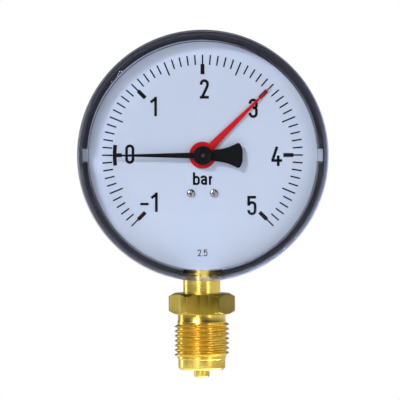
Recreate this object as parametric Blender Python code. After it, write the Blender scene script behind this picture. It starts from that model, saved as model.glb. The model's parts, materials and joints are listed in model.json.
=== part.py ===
"""Pressure gauge, 100 mm class: moulded case, press-on window, Bourdon-tube movement, G 1/2 B stem.

Lengths are in millimetres and are scaled to metres when a mesh is made. Shapes are drawn in
"gauge coordinates": x to the right, y to the back and z up, with zero at the centre of the
dial on the stem's axis. The part's own origin is the middle of the stem's sealing face.
The front faces -Y. Angles count anticlockwise as seen from the front, from 3 o'clock.
"""

import math

import bmesh
import bpy
from mathutils import Matrix, Vector

MM = 0.001
GAP = 0.3
DIAL_HEIGHT = 82.5

# Housing
ROUND = 60
CASE_RADIUS_FRONT = 46.6
CASE_FRONT = -14.5
CASE_BACK = 11.5
CASE_BACK_PANEL = 11.0
CASE_BACK_RIM = 37.0
CASE_BACK_ROUND = 2.3
FLOOR = 9.3
RIB_ANGLES = (22.5, 67.5, 112.5, 157.5, 202.5, 247.5, 292.5, 337.5)
RIB_HALF_WIDTH = 0.7
RIB_FRONT = 6.9
RIB_START = 12.0
RIB_POST = 42.0
WALL_FOOT_RADIUS = 43.9
WINDOW_RADIUS = 48.0
WINDOW_FRONT = -19.0
WINDOW_PLATE = 2.0
WINDOW_SKIRT_END = -8.4
WINDOW_EDGE_ROUND = 4.4
WINDOW_INNER_RADIUS = 43.8
SLOT_HALF_WIDTH = 7.6

# Dial
DIAL_RADIUS = 44.0
DIAL_FRONT = -8.0
DIAL_BACK = -7.5
TAB_REACH = 45.4
TAB_HALF_WIDTH = 2.4
DIAL_SCREW_X = 4.4
DIAL_SCREW_Z = -14.6

# Stem
NECK_RADIUS = 7.1
HEX_ACROSS_FLATS = 22.0
HEX_TOP = -53.2
HEX_BOTTOM = -61.2
THREAD_RADIUS = 20.955 / 2
THREAD_ROOT = 18.631 / 2
THREAD_PITCH = 1.814
THREAD_TURNS = 8
UNDERCUT_RADIUS = 9.15
UNDERCUT_END = -63.7
LAND_RADIUS = 9.0
SPIGOT_RADIUS = 3.0
SPIGOT_LENGTH = 3.0
BORE_RADIUS = 1.5
CROSS_BORE_RADIUS = 1.2
BLOCK_HALF_WIDTH = 7.0
BLOCK_HALF_DEPTH = 5.0
BLOCK_TOP = -13.0
BLOCK_BOTTOM = -41.5
SOCKET_SCREW_Z = -19.5
CASE_SCREW_HEIGHTS = (-25.0, -34.0)
CASE_SCREW_SEAT = 9.2
CASE_SCREW_HEAD = 2.5
CASE_SCREW_TIP = 2.9

# Bourdon tube and its tip
TUBE_RADIUS = 30.0
TUBE_ROOT_ANGLE = 254.5
TUBE_TIP_ANGLE = -20.0
TUBE_WIDTH = 10.0
TUBE_THICKNESS = 3.4
TIP_PIN_RADIUS = 20.0
TIP_PIN_ANGLE = -24.0

# Movement
MODULE = 0.32
PINION_TEETH = 10
SECTOR_TEETH = 100
SECTOR_DIRECTION = -48.0
SECTOR_FIRST_TOOTH = -7
SECTOR_LAST_TOOTH = 2
HUB_PLATE_RADIUS = 3.0
SECTOR_Y = (-1.6, -0.6)
PINION_Y = (-2.4, 0.2)
TAIL_LENGTH = 5.0
TAIL_ANGLE = -35.0
LINK_Y = (-2.6, -2.0)
FRONT_PLATE_Y = (-6.1, -5.3)
BACK_PLATE_Y = (1.2, 2.0)
JOURNAL_RADIUS = 0.6
LINK_PIN_RADIUS = 0.6
PILLARS = ((-7.5, 6.0), (16.0, -3.5), (-7.5, -8.5))
HAIRSPRING_TURNS = 5
HAIRSPRING_Y = (-4.8, -4.0)

# Pointers
POINTER_LENGTH = 36.4
POINTER_Y = (-11.6, -11.2)
SET_POINTER_Y = (-9.3, -8.9)
SET_POINTER_DEGREES = 45.0
SET_POINTER_DISC = 5.15
HUB_RADIUS = 3.7
HUB_FRONT = -12.9
SHAFT_TIP = -13.3

BLACK_PLASTIC = ("black_plastic", (0.012, 0.012, 0.014), 0.35, 0.0)
CLEAR_PLASTIC = ("clear_plastic", (0.86, 0.88, 0.95), 0.04, 0.0)
WHITE_LACQUER = ("white_lacquer", (0.78, 0.80, 0.86), 0.30, 0.0)
BRASS = ("brass", (0.76, 0.56, 0.20), 0.26, 1.0)
BRONZE = ("bronze", (0.62, 0.38, 0.20), 0.34, 1.0)
STEEL = ("steel", (0.62, 0.62, 0.62), 0.25, 1.0)
BLACK_LACQUER = ("black_lacquer", (0.010, 0.010, 0.012), 0.40, 0.0)
RED_LACQUER = ("red_lacquer", (0.62, 0.02, 0.03), 0.35, 0.0)


def clear_scene():
    for old in list(bpy.data.objects):
        bpy.data.objects.remove(old, do_unlink=True)


def material(finish):
    name, colour, roughness, metallic = finish
    made = bpy.data.materials.new(name)
    made.use_nodes = True
    shader = made.node_tree.nodes["Principled BSDF"]
    shader.inputs["Base Color"].default_value = (*colour, 1.0)
    shader.inputs["Roughness"].default_value = roughness
    shader.inputs["Metallic"].default_value = metallic
    if finish is CLEAR_PLASTIC:
        shader.inputs["Transmission Weight"].default_value = 1.0
    made.diffuse_color = (*colour, 1.0)
    return made


# ---- points in the plane of the dial ------------------------------------------------------


def polar(radius, degrees, centre=(0.0, 0.0)):
    angle = math.radians(degrees)
    return (centre[0] + radius * math.cos(angle), centre[1] + radius * math.sin(angle))


def arc(radius, start, end, steps, centre=(0.0, 0.0)):
    turn = (end - start) / steps
    return [polar(radius, start + turn * i, centre) for i in range(steps + 1)]


def rounded(corners, radius, steps=4):
    """The closed polygon through corners, each corner filleted with an arc."""
    outline = []
    for i, corner in enumerate(corners):
        here = Vector(corner)
        back = (Vector(corners[i - 1]) - here).normalized()
        ahead = (Vector(corners[(i + 1) % len(corners)]) - here).normalized()
        half = back.angle(ahead) / 2
        middle = here + (back + ahead).normalized() * radius / math.sin(half)
        start = here + back * radius / math.tan(half) - middle
        sweep = start.angle_signed(here + ahead * radius / math.tan(half) - middle)
        for k in range(steps + 1):
            turned_by = Matrix.Rotation(-sweep * k / steps, 2)
            outline.append(tuple(middle + turned_by @ start))
    return outline


def stadium(a, b, radius_a, radius_b, steps=8):
    """A bar with round ends about the points a and b."""
    heading = math.degrees(math.atan2(b[1] - a[1], b[0] - a[0]))
    return arc(radius_a, heading + 90, heading + 270, steps, a) + arc(
        radius_b, heading - 90, heading + 90, steps, b
    )


def gear_outline(teeth, first, last, thickness, centre=(0.0, 0.0), turn=0.0):
    """Teeth first..last of a gear; tooth 0 points along turn, thickness is a share of the pitch."""
    pitch_radius = MODULE * teeth / 2
    tip, root = pitch_radius + 0.8 * MODULE, pitch_radius - 1.2 * MODULE
    half = 180.0 * thickness / teeth
    slope = math.degrees(math.tan(math.radians(22)) * MODULE / pitch_radius)
    points = []
    for tooth in range(first, last + 1):
        middle = turn + tooth * 360.0 / teeth
        for radius, across in (
            (root, -half - 1.2 * slope),
            (tip, -half + 0.8 * slope),
            (tip, half - 0.8 * slope),
            (root, half + 1.2 * slope),
        ):
            points.append(polar(radius, middle + across, centre))
    return points


# ---- solids -------------------------------------------------------------------------------


def prism(outline, low, high, along="y"):
    """The outline extruded along y (x, z points) or along z (x, y points)."""
    bm = bmesh.new()
    if along == "y":
        corners = [bm.verts.new((x, low, z)) for x, z in outline]
        path = (0, high - low, 0)
    else:
        corners = [bm.verts.new((x, y, low)) for x, y in outline]
        path = (0, 0, high - low)
    base = bm.faces.new(corners)
    grown = bmesh.ops.extrude_face_region(bm, geom=[base], use_keep_orig=True)
    moved = [v for v in grown["geom"] if isinstance(v, bmesh.types.BMVert)]
    bmesh.ops.translate(bm, vec=path, verts=moved)
    bmesh.ops.recalc_face_normals(bm, faces=bm.faces)
    return bm


def turned(profile, segments, axis="y", centre=(0.0, 0.0), ring=False):
    """The profile (radius, height) spun about an axis along y or z through centre."""
    bm = bmesh.new()
    if axis == "y":
        points = [bm.verts.new((centre[0] + r, h, centre[1])) for r, h in profile]
        pivot, spin_axis = (centre[0], 0, centre[1]), (0, 1, 0)
    else:
        points = [bm.verts.new((centre[0] + r, centre[1], h)) for r, h in profile]
        pivot, spin_axis = (centre[0], centre[1], 0), (0, 0, 1)
    edges = [bm.edges.new(pair) for pair in zip(points, points[1:])]
    if ring:
        edges.append(bm.edges.new((points[-1], points[0])))
    bmesh.ops.spin(
        bm,
        geom=points + edges,
        cent=pivot,
        axis=spin_axis,
        angle=2 * math.pi,
        steps=segments,
        use_merge=True,
    )
    bmesh.ops.remove_doubles(bm, verts=bm.verts, dist=0.001)
    bmesh.ops.recalc_face_normals(bm, faces=bm.faces)
    return bm


def rod(x, z, radius, low, high, segments=16):
    return turned([(0, low), (radius, low), (radius, high), (0, high)], segments, "y", (x, z))


def tube(x, z, inner, outer, low, high, segments=16):
    profile = [(inner, low), (outer, low), (outer, high), (inner, high)]
    return turned(profile, segments, "y", (x, z), ring=True)


def box(low, high):
    outline = [(low[0], low[2]), (high[0], low[2]), (high[0], high[2]), (low[0], high[2])]
    return prism(outline, low[1], high[1])


def joined(*parts):
    """Separate bodies in one mesh."""
    whole = parts[0]
    for part in parts[1:]:
        scratch = bpy.data.meshes.new("scratch")
        part.to_mesh(scratch)
        part.free()
        whole.from_mesh(scratch)
        bpy.data.meshes.remove(scratch)
    return whole


def spun_about_dial(bm, degrees):
    """Turned clockwise, as seen from the front, about the dial's centre."""
    bmesh.ops.rotate(
        bm, verts=bm.verts, cent=(0, 0, 0), matrix=Matrix.Rotation(math.radians(degrees), 3, "Y")
    )
    return bm


def add_object(name, bm, finish, pivot=(0.0, 0.0, 0.0), cut=(), fuse=()):
    """One named piece, with its origin at pivot, and its live Booleans."""
    anchor = Vector(pivot)
    bmesh.ops.translate(bm, vec=-anchor, verts=bm.verts)
    bmesh.ops.scale(bm, vec=(MM, MM, MM), verts=bm.verts)
    mesh = bpy.data.meshes.new(name)
    bm.to_mesh(mesh)
    bm.free()
    mesh.shade_smooth()
    mesh.set_sharp_from_angle(angle=math.radians(30))
    mesh.materials.append(material(finish))
    piece = bpy.data.objects.new(name, mesh)
    piece.location = (anchor + Vector((0, 0, DIAL_HEIGHT))) * MM
    bpy.context.scene.collection.objects.link(piece)
    for kind, bodies in (("UNION", fuse), ("DIFFERENCE", cut)):
        for number, body in enumerate(bodies):
            tool = helper(f"{name}_{kind.lower()}_{number}", body)
            boolean = piece.modifiers.new(kind.lower(), "BOOLEAN")
            boolean.operation = kind
            boolean.solver = "EXACT"
            boolean.object = tool
    return piece


def add_each(name, bodies, finish):
    """Like pieces, numbered from 1."""
    for number, body in enumerate(bodies, 1):
        add_object(f"{name}_{number}", body, finish)


def helper(name, bm):
    """A body that only shapes another one, hidden from renders."""
    bmesh.ops.scale(bm, vec=(MM, MM, MM), verts=bm.verts)
    mesh = bpy.data.meshes.new(name)
    bm.to_mesh(mesh)
    bm.free()
    tool = bpy.data.objects.new(name, mesh)
    tool.location = (0, 0, DIAL_HEIGHT * MM)
    tool.hide_render = True
    tool.display_type = "WIRE"
    bpy.context.scene.collection.objects.link(tool)
    return tool


# ---- housing ------------------------------------------------------------------------------


def build_case():
    """Cup with a stem slot, tab notches, a screw pad and ribs whose posts carry the dial."""
    flat_edge = CASE_RADIUS_FRONT - 3.5
    back_round = [
        (flat_edge + CASE_BACK_ROUND * s, CASE_BACK - CASE_BACK_ROUND * (1 - c))
        for s, c in quarter(3)
    ]
    profile = [
        (0, CASE_BACK_PANEL),
        (CASE_BACK_RIM - 0.5, CASE_BACK_PANEL),
        (CASE_BACK_RIM, CASE_BACK),
        *back_round,
        (CASE_RADIUS_FRONT - 0.3, WINDOW_SKIRT_END + 0.6),
        (CASE_RADIUS_FRONT, CASE_FRONT + 0.4),
        (CASE_RADIUS_FRONT - 0.4, CASE_FRONT),
        (DIAL_RADIUS + GAP, CASE_FRONT),
        (WALL_FOOT_RADIUS, FLOOR - 1.5),
        (WALL_FOOT_RADIUS - 1.5, FLOOR),
        (0, FLOOR),
    ]
    pad = prism(rounded([(-7, -18), (-7, -39), (7, -39), (7, -18)], 1.5), 5.3, FLOOR + 0.5)
    rib = [
        (RIB_START, FLOOR + 0.3),
        (RIB_START, RIB_FRONT),
        (RIB_POST - 0.6, RIB_FRONT),
        (RIB_POST, DIAL_BACK + GAP),
        (DIAL_RADIUS + 1, DIAL_BACK + GAP),
        (DIAL_RADIUS + 1, FLOOR + 0.3),
    ]
    ribs = [
        spun_about_dial(prism(rib, -RIB_HALF_WIDTH, RIB_HALF_WIDTH, "z"), angle)
        for angle in RIB_ANGLES
    ]
    reach = TAB_REACH + 0.2
    half = TAB_HALF_WIDTH + GAP
    notches = joined(
        box((DIAL_RADIUS - 1, CASE_FRONT - 1, -half), (reach, DIAL_BACK + GAP, half)),
        box((-reach, CASE_FRONT - 1, -half), (1 - DIAL_RADIUS, DIAL_BACK + GAP, half)),
    )
    top, bottom = BLOCK_BOTTOM, -52
    slot_end = turned(
        [(0, bottom), (SLOT_HALF_WIDTH, bottom), (SLOT_HALF_WIDTH, top), (0, top)], 32, "z"
    )
    slot = box((-SLOT_HALF_WIDTH, -20, bottom), (SLOT_HALF_WIDTH, 0, top))
    seat = CASE_SCREW_SEAT - GAP
    recess = CASE_SCREW_HEAD + 0.4
    screw_holes = [
        turned(
            [(0, 4), (1.55, 4), (1.55, seat), (recess, seat), (recess, 13), (0, 13)],
            20,
            "y",
            (0, z),
        )
        for z in CASE_SCREW_HEIGHTS
    ]
    add_object(
        "case",
        turned(profile, ROUND),
        BLACK_PLASTIC,
        fuse=[pad, joined(*ribs)],
        cut=[notches, slot_end, slot, joined(*screw_holes)],
    )


def quarter(steps):
    """Sine and cosine over a quarter turn."""
    angles = [math.pi / 2 * i / steps for i in range(steps + 1)]
    return [(math.sin(a), math.cos(a)) for a in angles]


def build_window():
    """Clear cap: flat plate, round front edge and a skirt that grips the case's wall."""
    edge = [
        (
            WINDOW_RADIUS - WINDOW_EDGE_ROUND * (1 - s),
            WINDOW_FRONT + WINDOW_EDGE_ROUND * (1 - c),
        )
        for s, c in quarter(5)
    ]
    inner_skirt = CASE_RADIUS_FRONT + GAP
    profile = [
        (0, WINDOW_FRONT),
        *edge,
        (WINDOW_RADIUS, WINDOW_SKIRT_END),
        (inner_skirt, WINDOW_SKIRT_END),
        (inner_skirt, CASE_FRONT - GAP),
        (WINDOW_INNER_RADIUS, CASE_FRONT - GAP),
        (WINDOW_INNER_RADIUS, WINDOW_FRONT + WINDOW_PLATE + 0.5),
        (WINDOW_INNER_RADIUS - 0.5, WINDOW_FRONT + WINDOW_PLATE),
        (0, WINDOW_FRONT + WINDOW_PLATE),
    ]
    add_object("window", turned(profile, ROUND), CLEAR_PLASTIC)


def build_dial():
    tab_angle = math.degrees(math.asin(TAB_HALF_WIDTH / DIAL_RADIUS))
    right_tab = [(TAB_REACH, -TAB_HALF_WIDTH), (TAB_REACH, TAB_HALF_WIDTH)]
    left_tab = [(-TAB_REACH, TAB_HALF_WIDTH), (-TAB_REACH, -TAB_HALF_WIDTH)]
    outline = [
        *right_tab,
        *arc(DIAL_RADIUS, tab_angle, 180 - tab_angle, ROUND // 2),
        *left_tab,
        *arc(DIAL_RADIUS, 180 + tab_angle, 360 - tab_angle, ROUND // 2),
    ]
    holes = joined(
        rod(0, 0, 3.2, DIAL_FRONT - 1, DIAL_BACK + 1, 24),
        *[rod(x, DIAL_SCREW_Z, 1.1, DIAL_FRONT - 1, DIAL_BACK + 1) for x in screw_places()],
    )
    add_object("dial", prism(outline, DIAL_FRONT, DIAL_BACK), WHITE_LACQUER, cut=[holes])


def screw_places():
    return (-DIAL_SCREW_X, DIAL_SCREW_X)


def pan_screw(x, z, head, shank, seat, head_height, reach, pointing=1):
    """A round-headed screw with its head's seat at y = seat and its shank going to reach."""
    top = seat - pointing * head_height
    profile = [
        (0, top),
        (0.72 * head, top),
        (head, top + pointing * 0.45 * head_height),
        (head, seat),
        (shank, seat),
        (shank, reach),
        (0, reach),
    ]
    return turned(profile, 12, "y", (x, z))


def build_dial_fixings():
    heads = DIAL_FRONT - GAP
    screws = [
        pan_screw(x, DIAL_SCREW_Z, 1.6, 0.85, heads, 0.9, -BLOCK_HALF_DEPTH + 2)
        for x in screw_places()
    ]
    add_each("dial_screw", screws, STEEL)
    rings = [
        tube(x, DIAL_SCREW_Z, 1.1, 2.0, DIAL_BACK + GAP, FRONT_PLATE_Y[0] - GAP)
        for x in screw_places()
    ]
    add_each("dial_spacer", rings, BRASS)


# ---- stem ---------------------------------------------------------------------------------


def build_stem():
    """Turned brass stem with hexagon and ridged thread, milled block on top, pressure bore."""
    thread = []
    for ridge in range(THREAD_TURNS):
        top = UNDERCUT_END - ridge * THREAD_PITCH
        thread += [
            (THREAD_RADIUS, top - 0.5 * THREAD_PITCH),
            (THREAD_ROOT, top - THREAD_PITCH),
        ]
    seal = -DIAL_HEIGHT
    profile = [
        (0, BLOCK_BOTTOM + 2),
        (NECK_RADIUS, BLOCK_BOTTOM + 2),
        (NECK_RADIUS, HEX_TOP - 2),
        (UNDERCUT_RADIUS, HEX_TOP - 3),
        (UNDERCUT_RADIUS, UNDERCUT_END),
        *thread,
        (LAND_RADIUS, UNDERCUT_END - THREAD_TURNS * THREAD_PITCH - 0.4),
        (LAND_RADIUS, seal + 0.8),
        (LAND_RADIUS - 0.8, seal),
        (SPIGOT_RADIUS, seal),
        (SPIGOT_RADIUS, seal - SPIGOT_LENGTH + 0.6),
        (SPIGOT_RADIUS - 0.6, seal - SPIGOT_LENGTH),
        (0, seal - SPIGOT_LENGTH),
    ]
    block_corners = [
        (-BLOCK_HALF_WIDTH, BLOCK_TOP),
        (-BLOCK_HALF_WIDTH, BLOCK_BOTTOM),
        (BLOCK_HALF_WIDTH, BLOCK_BOTTOM),
        (BLOCK_HALF_WIDTH, BLOCK_TOP),
    ]
    block = prism(rounded(block_corners, 1.0), -BLOCK_HALF_DEPTH, BLOCK_HALF_DEPTH)
    front_holes = [
        rod(x, z, 1.15, -BLOCK_HALF_DEPTH - 1, -BLOCK_HALF_DEPTH + 3)
        for x in screw_places()
        for z in (DIAL_SCREW_Z, SOCKET_SCREW_Z)
    ]
    back_holes = [
        rod(0, z, 1.4, CASE_SCREW_TIP - GAP, BLOCK_HALF_DEPTH + 1) for z in CASE_SCREW_HEIGHTS
    ]
    root_height = TUBE_RADIUS * math.sin(math.radians(TUBE_ROOT_ANGLE))
    bore = turned(
        [
            (0, seal - SPIGOT_LENGTH - 1),
            (BORE_RADIUS, seal - SPIGOT_LENGTH - 1),
            (BORE_RADIUS, root_height),
            (0, root_height + BORE_RADIUS),
        ],
        16,
        "z",
    )
    cross_bore = turned(
        [
            (0, -BLOCK_HALF_WIDTH - 1),
            (CROSS_BORE_RADIUS, -BLOCK_HALF_WIDTH - 1),
            (CROSS_BORE_RADIUS, 0),
            (0, 0),
        ],
        12,
        "z",
    )
    quarter_turn = Matrix.Rotation(math.radians(90), 3, "Y")
    bmesh.ops.rotate(cross_bore, verts=cross_bore.verts, cent=(0, 0, 0), matrix=quarter_turn)
    bmesh.ops.translate(cross_bore, vec=(0, 0, root_height), verts=cross_bore.verts)
    add_object(
        "stem",
        turned(profile, 36, "z"),
        BRASS,
        fuse=[hexagon(), block],
        cut=[joined(*front_holes), joined(*back_holes), bore, cross_bore],
    )


def hexagon():
    """Hexagon with both faces chamfered by a 30 degree cone."""
    corner = HEX_ACROSS_FLATS / math.sqrt(3)
    flat = HEX_ACROSS_FLATS / 2
    bm = prism([polar(corner, 60 * i) for i in range(6)], HEX_BOTTOM, HEX_TOP, "z")
    drop = (corner + 0.1 - flat + 0.4) * math.tan(math.radians(30))
    cone = turned(
        [
            (0, HEX_TOP),
            (flat - 0.4, HEX_TOP),
            (corner + 0.1, HEX_TOP - drop),
            (corner + 0.1, HEX_BOTTOM + drop),
            (flat - 0.4, HEX_BOTTOM),
            (0, HEX_BOTTOM),
        ],
        36,
        "z",
    )
    return intersection(bm, cone)


def intersection(bm, other):
    """The common body of two solids, worked out at once."""
    piece = helper("hexagon_blank", bm)
    tool = helper("hexagon_cone", other)
    boolean = piece.modifiers.new("chamfer", "BOOLEAN")
    boolean.operation = "INTERSECT"
    boolean.solver = "EXACT"
    boolean.object = tool
    bpy.context.view_layer.update()
    depsgraph = bpy.context.evaluated_depsgraph_get()
    result = bmesh.new()
    result.from_object(piece, depsgraph)
    bmesh.ops.scale(result, vec=(1 / MM, 1 / MM, 1 / MM), verts=result.verts)
    for used in (piece, tool):
        bpy.data.objects.remove(used, do_unlink=True)
    return result


def build_fixing_screws():
    seat = FRONT_PLATE_Y[0] - GAP
    socket = [
        pan_screw(x, SOCKET_SCREW_Z, 1.7, 0.9, seat, 0.8, -BLOCK_HALF_DEPTH + 2)
        for x in screw_places()
    ]
    add_each("socket_screw", socket, STEEL)
    case = [
        pan_screw(0, z, CASE_SCREW_HEAD, 1.25, CASE_SCREW_SEAT, 1.7, CASE_SCREW_TIP, -1)
        for z in CASE_SCREW_HEIGHTS
    ]
    add_each("case_screw", case, STEEL)


# ---- Bourdon tube, tip and link ------------------------------------------------------------


def tip_pin():
    return polar(TIP_PIN_RADIUS, TIP_PIN_ANGLE)


def sector_pivot():
    return polar(MODULE * (PINION_TEETH + SECTOR_TEETH) / 2, SECTOR_DIRECTION)


def tail_pin():
    return polar(TAIL_LENGTH, TAIL_ANGLE, sector_pivot())


def tube_centroid():
    """Middle of mass of the tube's arc: its tip swings about this point as the tube opens."""
    half = math.radians(TUBE_ROOT_ANGLE - TUBE_TIP_ANGLE) / 2
    return polar(
        TUBE_RADIUS * math.sin(half) / half, (TUBE_ROOT_ANGLE + TUBE_TIP_ANGLE) / 2
    )


def build_bourdon_tube():
    """Flattened section swept along the C."""
    bm = bmesh.new()
    flat = TUBE_WIDTH / 2 - TUBE_THICKNESS / 2
    round_end = TUBE_THICKNESS / 2
    section = [(flat + round_end * s, round_end * c) for s, c in quarter(2)]
    section += [(y, -r) for y, r in reversed(section)][1:]
    section += [(-y, r) for y, r in reversed(section)]
    ring = [bm.verts.new((TUBE_RADIUS + r, y, 0)) for y, r in section]
    edges = [bm.edges.new((a, b)) for a, b in zip(ring, ring[1:] + ring[:1])]
    bmesh.ops.rotate(
        bm,
        verts=bm.verts,
        cent=(0, 0, 0),
        matrix=Matrix.Rotation(-math.radians(TUBE_TIP_ANGLE), 3, "Y"),
    )
    bmesh.ops.spin(
        bm,
        geom=ring + edges,
        cent=(0, 0, 0),
        axis=(0, 1, 0),
        angle=-math.radians(TUBE_ROOT_ANGLE - TUBE_TIP_ANGLE),
        steps=32,
    )
    bmesh.ops.holes_fill(bm, edges=bm.edges, sides=0)
    bmesh.ops.recalc_face_normals(bm, faces=bm.faces)
    add_object("bourdon_tube", bm, BRONZE)


def build_tip():
    """Cap that closes the tube, with a lug that carries the link's pin."""
    swing = tube_centroid()
    pivot = (swing[0], 0, swing[1])
    start = TUBE_TIP_ANGLE - math.degrees(GAP / TUBE_RADIUS)
    end = start - math.degrees(3.0 / TUBE_RADIUS)
    cap = [
        polar(TUBE_RADIUS - 2.5, start),
        polar(TUBE_RADIUS - 2.5, end),
        polar(TUBE_RADIUS + 2.5, end),
        polar(TUBE_RADIUS + 2.5, start),
    ]
    pin = tip_pin()
    middle = polar(TUBE_RADIUS, (start + end) / 2)
    lug = prism(stadium(pin, middle, 1.6, 1.4), *SECTOR_Y)
    hole = rod(*pin, LINK_PIN_RADIUS + 0.12, SECTOR_Y[0] - 1, SECTOR_Y[1] + 1)
    add_object(
        "tube_end_piece",
        prism(cap, -TUBE_WIDTH / 2 - 0.6, TUBE_WIDTH / 2 + 0.6),
        BRASS,
        pivot=pivot,
        fuse=[lug],
        cut=[hole],
    )
    add_object("tip_link_pin", headed_pin(pin), STEEL, pivot=pivot)


def headed_pin(place):
    front = LINK_Y[0] - GAP
    profile = [
        (0, front - 0.5),
        (1.0, front - 0.5),
        (1.0, front),
        (LINK_PIN_RADIUS, front),
        (LINK_PIN_RADIUS, SECTOR_Y[1] + 0.2),
        (0, SECTOR_Y[1] + 0.2),
    ]
    return turned(profile, 16, "y", place)


def build_link():
    """Flat link from the sector's tail to the tip; its eye at the tip has the extra play."""
    tail, tip = tail_pin(), tip_pin()
    eyes = joined(
        rod(*tail, LINK_PIN_RADIUS + 0.12, LINK_Y[0] - 1, LINK_Y[1] + 1),
        rod(*tip, LINK_PIN_RADIUS + 0.22, LINK_Y[0] - 1, LINK_Y[1] + 1),
    )
    body = prism(stadium(tail, tip, 1.5, 1.5), *LINK_Y)
    add_object("link", body, BRASS, pivot=(tail[0], 0, tail[1]), cut=[eyes])


# ---- movement -----------------------------------------------------------------------------


def build_sector():
    """Toothed rim on a spoked wedge, with the tail lever for the link on the far side."""
    centre = sector_pivot()
    pivot = (centre[0], 0, centre[1])
    facing = SECTOR_DIRECTION + 180
    step = 360.0 / SECTOR_TEETH
    low = facing + SECTOR_FIRST_TOOTH * step - step / 2
    high = facing + SECTOR_LAST_TOOTH * step + step / 2
    rim = MODULE * SECTOR_TEETH / 2 - 3.0
    tail = TAIL_ANGLE + 360
    outline = [
        *gear_outline(SECTOR_TEETH, SECTOR_FIRST_TOOTH, SECTOR_LAST_TOOTH, 0.40, centre, facing),
        polar(rim, high, centre),
        *arc(HUB_PLATE_RADIUS, high + 25, tail - 36, 6, centre),
        *arc(1.6, tail - 90, tail + 90, 8, tail_pin()),
        *arc(HUB_PLATE_RADIUS, tail + 36, low + 318, 4, centre),
        polar(rim, low, centre),
    ]
    window = rounded(
        [
            polar(5.0, (low + high) / 2, centre),
            polar(rim, low + 13, centre),
            polar(rim, high - 13, centre),
        ],
        0.8,
    )
    holes = joined(
        rod(*centre, 1.1, SECTOR_Y[0] - 1, SECTOR_Y[1] + 1),
        rod(*tail_pin(), LINK_PIN_RADIUS + 0.12, SECTOR_Y[0] - 1, SECTOR_Y[1] + 1),
        prism(window, SECTOR_Y[0] - 1, SECTOR_Y[1] + 1),
    )
    add_object("sector_gear", prism(outline, *SECTOR_Y), BRASS, pivot=pivot, cut=[holes])
    arbor = [
        (0, FRONT_PLATE_Y[0] + 0.1),
        (JOURNAL_RADIUS, FRONT_PLATE_Y[0] + 0.1),
        (JOURNAL_RADIUS, FRONT_PLATE_Y[1] + GAP),
        (1.0, FRONT_PLATE_Y[1] + GAP),
        (1.0, BACK_PLATE_Y[0] - GAP),
        (JOURNAL_RADIUS, BACK_PLATE_Y[0] - GAP),
        (JOURNAL_RADIUS, BACK_PLATE_Y[1] - 0.1),
        (0, BACK_PLATE_Y[1] - 0.1),
    ]
    add_object("sector_arbor", turned(arbor, 16, "y", centre), STEEL, pivot=pivot)
    add_object("sector_link_pin", headed_pin(tail_pin()), STEEL, pivot=pivot)


def build_pinion():
    """Shaft with the pinion cut on it; its front end carries the pointer."""
    shaft = [
        (0, SHAFT_TIP),
        (JOURNAL_RADIUS - 0.15, SHAFT_TIP),
        (JOURNAL_RADIUS, SHAFT_TIP + 0.2),
        (JOURNAL_RADIUS, FRONT_PLATE_Y[1] + GAP),
        (0.9, FRONT_PLATE_Y[1] + GAP),
        (0.9, BACK_PLATE_Y[0] - GAP),
        (JOURNAL_RADIUS, BACK_PLATE_Y[0] - GAP),
        (JOURNAL_RADIUS, BACK_PLATE_Y[1] - 0.1),
        (0, BACK_PLATE_Y[1] - 0.1),
    ]
    half_tooth = 180.0 / PINION_TEETH
    facing = SECTOR_DIRECTION + half_tooth
    teeth = gear_outline(PINION_TEETH, 0, PINION_TEETH - 1, 0.36, turn=facing)
    add_object("pinion_shaft", turned(shaft, 20), STEEL, fuse=[prism(teeth, *PINION_Y)])


def build_hairspring():
    """Flat spiral between the collet on the shaft and the stud on the front plate."""
    inner, outer, thickness = 2.1, 6.2, 0.2
    steps = HAIRSPRING_TURNS * 14
    centre_line = []
    for i in range(steps + 1):
        share = i / steps
        centre_line.append((inner + (outer - inner) * share, 40 + 360 * HAIRSPRING_TURNS * share))
    outline = [polar(r + thickness / 2, a) for r, a in centre_line]
    outline += [polar(r - thickness / 2, a) for r, a in reversed(centre_line)]
    bm = bmesh.new()
    count = len(outline)
    front = [bm.verts.new((x, HAIRSPRING_Y[0], z)) for x, z in outline]
    back = [bm.verts.new((x, HAIRSPRING_Y[1], z)) for x, z in outline]
    for i in range(count):
        after = (i + 1) % count
        bm.faces.new((front[i], front[after], back[after], back[i]))
    for layer in (front, back):
        for i in range(steps):
            bm.faces.new((layer[i], layer[i + 1], layer[count - 2 - i], layer[count - 1 - i]))
    bmesh.ops.recalc_face_normals(bm, faces=bm.faces)
    add_object("hairspring", bm, BRONZE)
    end = HAIRSPRING_Y[1] + 0.2
    add_object("hairspring_collet", tube(0, 0, 1.02, 1.85, HAIRSPRING_Y[0] - 0.1, end, 20), BRASS)
    stud = polar(outer, 40 + 11)
    add_object("hairspring_stud", rod(*stud, 0.65, FRONT_PLATE_Y[1] + GAP, end), BRASS)


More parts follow.
